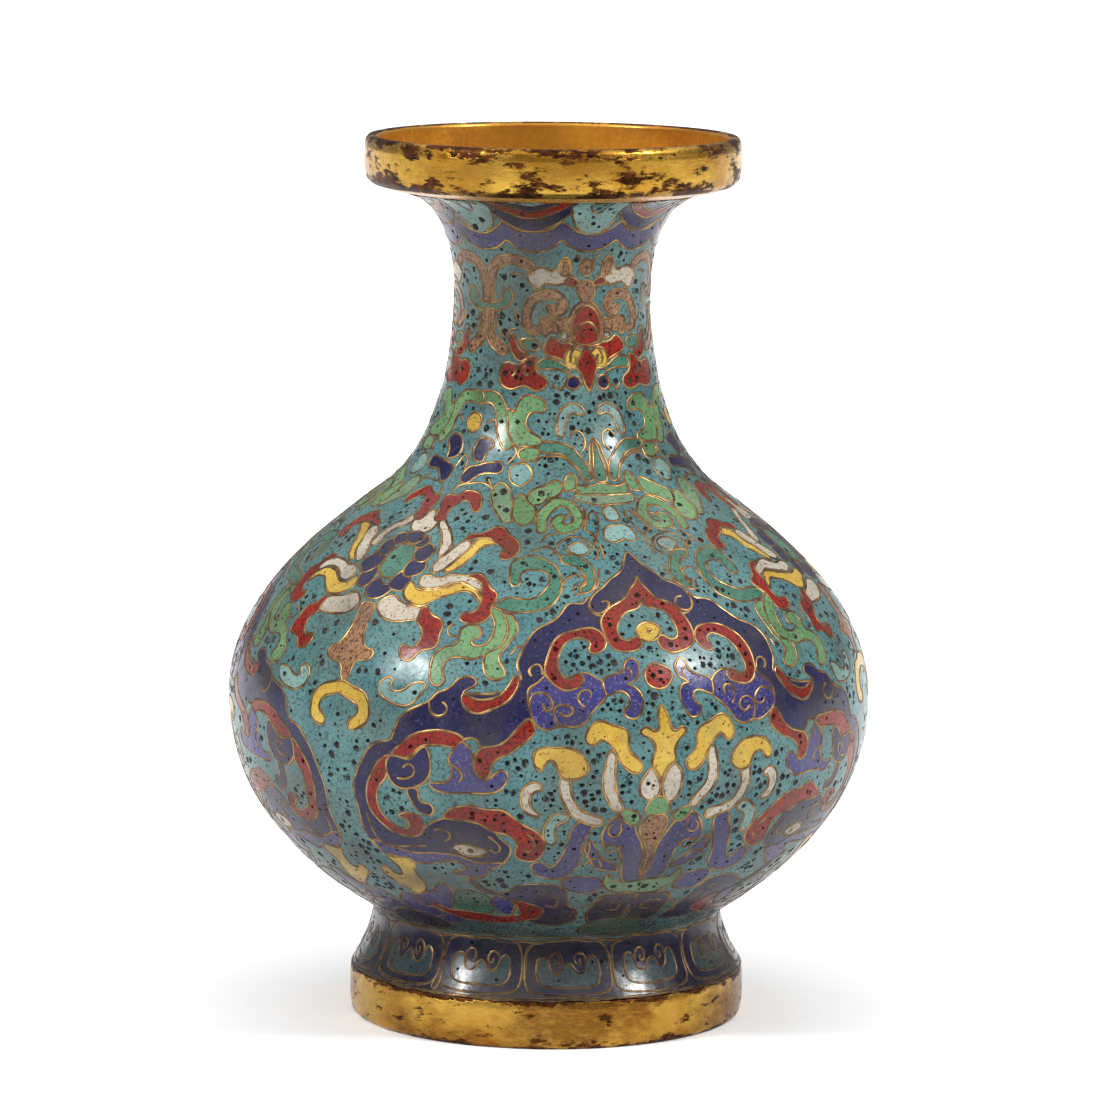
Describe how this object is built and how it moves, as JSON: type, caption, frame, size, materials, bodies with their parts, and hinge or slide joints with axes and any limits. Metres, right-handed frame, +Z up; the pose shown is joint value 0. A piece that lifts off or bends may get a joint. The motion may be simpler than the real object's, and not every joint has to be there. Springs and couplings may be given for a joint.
{
  "type": "cloisonne vase",
  "caption": "Small bottle vase with a dished gilt mouth, narrow neck, round belly and splayed foot, in turquoise cloisonne enamel with lotus and cloud-lappet motifs.",
  "frame": {"origin": "centre of the foot ring's resting face", "axes": "+Z up along the vase's axis of revolution; -Y faces the viewer, and a cloud lappet's centre line stands 20 degrees from -Y towards +X"},
  "size_m": [0.0908, 0.0908, 0.125],
  "materials": {
    "gilt_bronze": "worn fire gilding over bronze, satin, brown where rubbed through",
    "cloison_wire": "flat drawn wire on edge, gilt, ground level with the enamel, tarnished along its sides",
    "copper": "hammered copper, dull, darkened inside",
    "silver_solder": "dull grey-yellow solder",
    "turquoise_enamel": "fused glass enamel on copper, ground smooth, pitted, semi-gloss",
    "cobalt_enamel": "fused glass enamel on copper, ground smooth, pitted, semi-gloss",
    "red_enamel": "fused glass enamel on copper, ground smooth, pitted, semi-gloss",
    "yellow_enamel": "fused glass enamel on copper, ground smooth, pitted, semi-gloss",
    "white_enamel": "fused glass enamel on copper, ground smooth, pitted, semi-gloss",
    "green_enamel": "fused glass enamel on copper, ground smooth, pitted, semi-gloss",
    "pink_enamel": "fused glass enamel on copper, ground smooth, pitted, semi-gloss"
  },
  "bodies": {
    "root": {"base_plate": "gilt_bronze", "base_seam_solder": "silver_solder", "belly_core": "copper", "belly_enamel": "turquoise_enamel", "belly_seam_solder": "silver_solder", "collar_enamel": "turquoise_enamel", "foot_border_wire": "cloison_wire", "foot_core": "copper", "foot_enamel": "turquoise_enamel", "foot_fret_cell_01": "cobalt_enamel", "foot_fret_cell_02": "cobalt_enamel", "foot_fret_cell_03": "cobalt_enamel", "foot_fret_cell_04": "cobalt_enamel", "foot_fret_cell_05": "cobalt_enamel", "foot_fret_cell_06": "cobalt_enamel", "foot_fret_cell_07": "cobalt_enamel", "foot_fret_cell_08": "cobalt_enamel", "foot_fret_cell_09": "cobalt_enamel", "foot_fret_cell_10": "cobalt_enamel", "foot_fret_cell_11": "cobalt_enamel", "foot_fret_cell_12": "cobalt_enamel", "foot_fret_cell_13": "cobalt_enamel", "foot_fret_wire_01": "cloison_wire", "foot_fret_wire_02": "cloison_wire", "foot_fret_wire_03": "cloison_wire", "foot_fret_wire_04": "cloison_wire", "foot_fret_wire_05": "cloison_wire", "foot_fret_wire_06": "cloison_wire", "foot_fret_wire_07": "cloison_wire", "foot_fret_wire_08": "cloison_wire", "foot_fret_wire_09": "cloison_wire", "foot_fret_wire_10": "cloison_wire", "foot_fret_wire_11": "cloison_wire", "foot_fret_wire_12": "cloison_wire", "foot_fret_wire_13": "cloison_wire", "foot_rim": "gilt_bronze", "foot_seam_solder": "silver_solder", "mouth_rim": "gilt_bronze", "neck_core": "copper", "neck_enamel": "turquoise_enamel", "neck_seam_solder": "silver_solder", "rim_seam_solder": "silver_solder", "shoulder_core": "copper", "shoulder_enamel": "turquoise_enamel", "underbelly_enamel": "turquoise_enamel", "waist_border_wire": "cloison_wire"}
  },
  "joints": []
}
